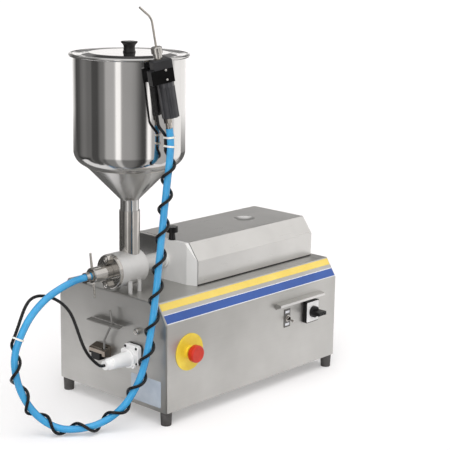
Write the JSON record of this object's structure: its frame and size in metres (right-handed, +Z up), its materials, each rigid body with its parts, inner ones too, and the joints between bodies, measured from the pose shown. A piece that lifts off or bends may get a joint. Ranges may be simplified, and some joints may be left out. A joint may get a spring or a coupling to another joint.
{
  "type": "filling injector machine",
  "caption": "Table-top pastry filling machine: steel case, conical hopper with lid, gear pump under a drive hood, blue hose and hand gun with a bent needle.",
  "frame": {"origin": "on the floor under the middle of the footprint, cords left out", "axes": "+X from the pump end to the far end of the case, -Y towards the operator, +Z up"},
  "size_m": [0.8855, 0.403, 0.9293],
  "materials": {
    "satin_steel": "satin",
    "mirror_steel": "polished",
    "turned_steel": "turned",
    "black_rubber": "matt",
    "yellow_film": "gloss",
    "blue_film": "gloss",
    "black_plastic": "matt",
    "white_plastic": "gloss",
    "red_plastic": "gloss",
    "grey_paint": "semi-gloss",
    "blue_hose": "semi-gloss",
    "black_cable": "semi-gloss"
  },
  "bodies": {
    "machine": {"case_body": "satin_steel", "base_plate": "satin_steel", "feet": "black_rubber", "switch_visor": "satin_steel", "yellow_stripe": "yellow_film", "blue_stripe": "blue_film", "hood": "satin_steel", "hood_edge_seal": "black_rubber", "pump_support": "satin_steel", "motor": "grey_paint", "gearbox": "grey_paint", "motor_bracket": "satin_steel", "control_box": "white_plastic", "pump_body": "satin_steel", "feed_sleeve": "mirror_steel", "pump_cover": "mirror_steel", "cap_nuts": "mirror_steel", "cover_seal": "black_rubber", "shaft_seal": "black_rubber", "pump_legs": "turned_steel", "hose_tail": "turned_steel", "hopper": "mirror_steel", "estop_disc": "yellow_film", "estop_body": "black_plastic", "toggle_plate": "white_plastic", "toggle_body": "turned_steel", "main_switch_base": "black_plastic", "main_switch_plate": "white_plastic", "panel_socket": "white_plastic", "socket_gasket": "black_rubber", "plug": "white_plastic", "lever_cover": "mirror_steel", "limit_switch": "black_plastic", "end_cap": "mirror_steel", "gun_block": "black_plastic", "gun_grip": "black_plastic", "gun_needle": "turned_steel", "gun_tube": "turned_steel", "gun_hook": "satin_steel", "hose": "blue_hose", "hose_clamp": "turned_steel", "control_cable": "black_cable", "cable_winding": "black_cable", "cable_ties": "white_plastic"},
    "hopper_lid": {"lid": "mirror_steel", "lid_knob": "black_plastic"},
    "outlet_union": {"outlet_nut": "mirror_steel", "tommy_bars": "turned_steel"},
    "thumb_screw": {"thumb_screw": "black_plastic"},
    "estop_plunger": {"estop_plunger": "black_plastic"},
    "estop_button": {"estop_button": "red_plastic"},
    "main_switch_knob": {"main_switch_knob": "black_plastic"},
    "toggle_lever": {"toggle_lever": "turned_steel"},
    "start_lever": {"start_rod": "turned_steel", "start_paddle": "turned_steel"},
    "gun_button": {"gun_button": "black_plastic"},
    "needle_nut": {"gun_nut": "turned_steel"},
    "drive_rotor": {"drive_gear": "turned_steel", "drive_coupling": "turned_steel"},
    "idler_rotor": {"idler_gear": "turned_steel"}
  },
  "joints": [
    {"name": "lid_lift", "type": "slide", "parent": "machine", "child": "hopper_lid", "axis": [0, 0, 1], "range_m": [0, 0.15]},
    {"name": "outlet_nut_turn", "type": "hinge", "parent": "machine", "child": "outlet_union", "pos_m": [-0.3215, 0.0115, 0.331], "axis": [1, 0, 0], "range_deg": [0, 360]},
    {"name": "thumb_screw_turn", "type": "hinge", "parent": "machine", "child": "thumb_screw", "pos_m": [-0.0915, -0.0125, 0.38], "axis": [0, 0, 1], "range_deg": [0, 360]},
    {"name": "estop_push", "type": "slide", "parent": "machine", "child": "estop_plunger", "axis": [0, 1, 0], "range_m": [0, 0.005]},
    {"name": "estop_twist", "type": "hinge", "parent": "estop_plunger", "child": "estop_button", "pos_m": [-0.181, -0.1725, 0.162], "axis": [0, 1, 0], "range_deg": [0, 45], "stiffness_Nm_per_rad": 0.05},
    {"name": "main_switch_turn", "type": "hinge", "parent": "machine", "child": "main_switch_knob", "pos_m": [0.244, -0.17, 0.169], "axis": [0, 1, 0], "range_deg": [0, 90]},
    {"name": "toggle_tilt", "type": "hinge", "parent": "machine", "child": "toggle_lever", "pos_m": [0.158, -0.1575, 0.168], "axis": [1, 0, 0], "range_deg": [-24, 0]},
    {"name": "start_lever_tilt", "type": "hinge", "parent": "machine", "child": "start_lever", "pos_m": [-0.2665, 0.0295, 0.136], "axis": [0, 1, 0], "range_deg": [-8, 2], "stiffness_Nm_per_rad": 1.5},
    {"name": "gun_button_press", "type": "slide", "parent": "machine", "child": "gun_button", "axis": [-0.9354, 0.3039, -0.1805], "range_m": [0, 0.0025], "stiffness_N_per_m": 400, "springref_m": -0.001},
    {"name": "needle_nut_turn", "type": "hinge", "parent": "machine", "child": "needle_nut", "pos_m": [-0.25612, -0.13139, 0.82351], "axis": [-0.1717, 0.0558, 0.9836], "range_deg": [0, 360]},
    {"name": "pump_drive", "type": "hinge", "parent": "machine", "child": "drive_rotor", "pos_m": [-0.253, 0.0115, 0.331], "axis": [1, 0, 0], "continuous": true},
    {"name": "idler_spin", "type": "hinge", "parent": "machine", "child": "idler_rotor", "pos_m": [-0.253, 0.0323, 0.331], "axis": [1, 0, 0], "continuous": true}
  ],
  "couplings": [
    {"joint": "idler_spin", "follows": "pump_drive", "ratio": -1}
  ]
}
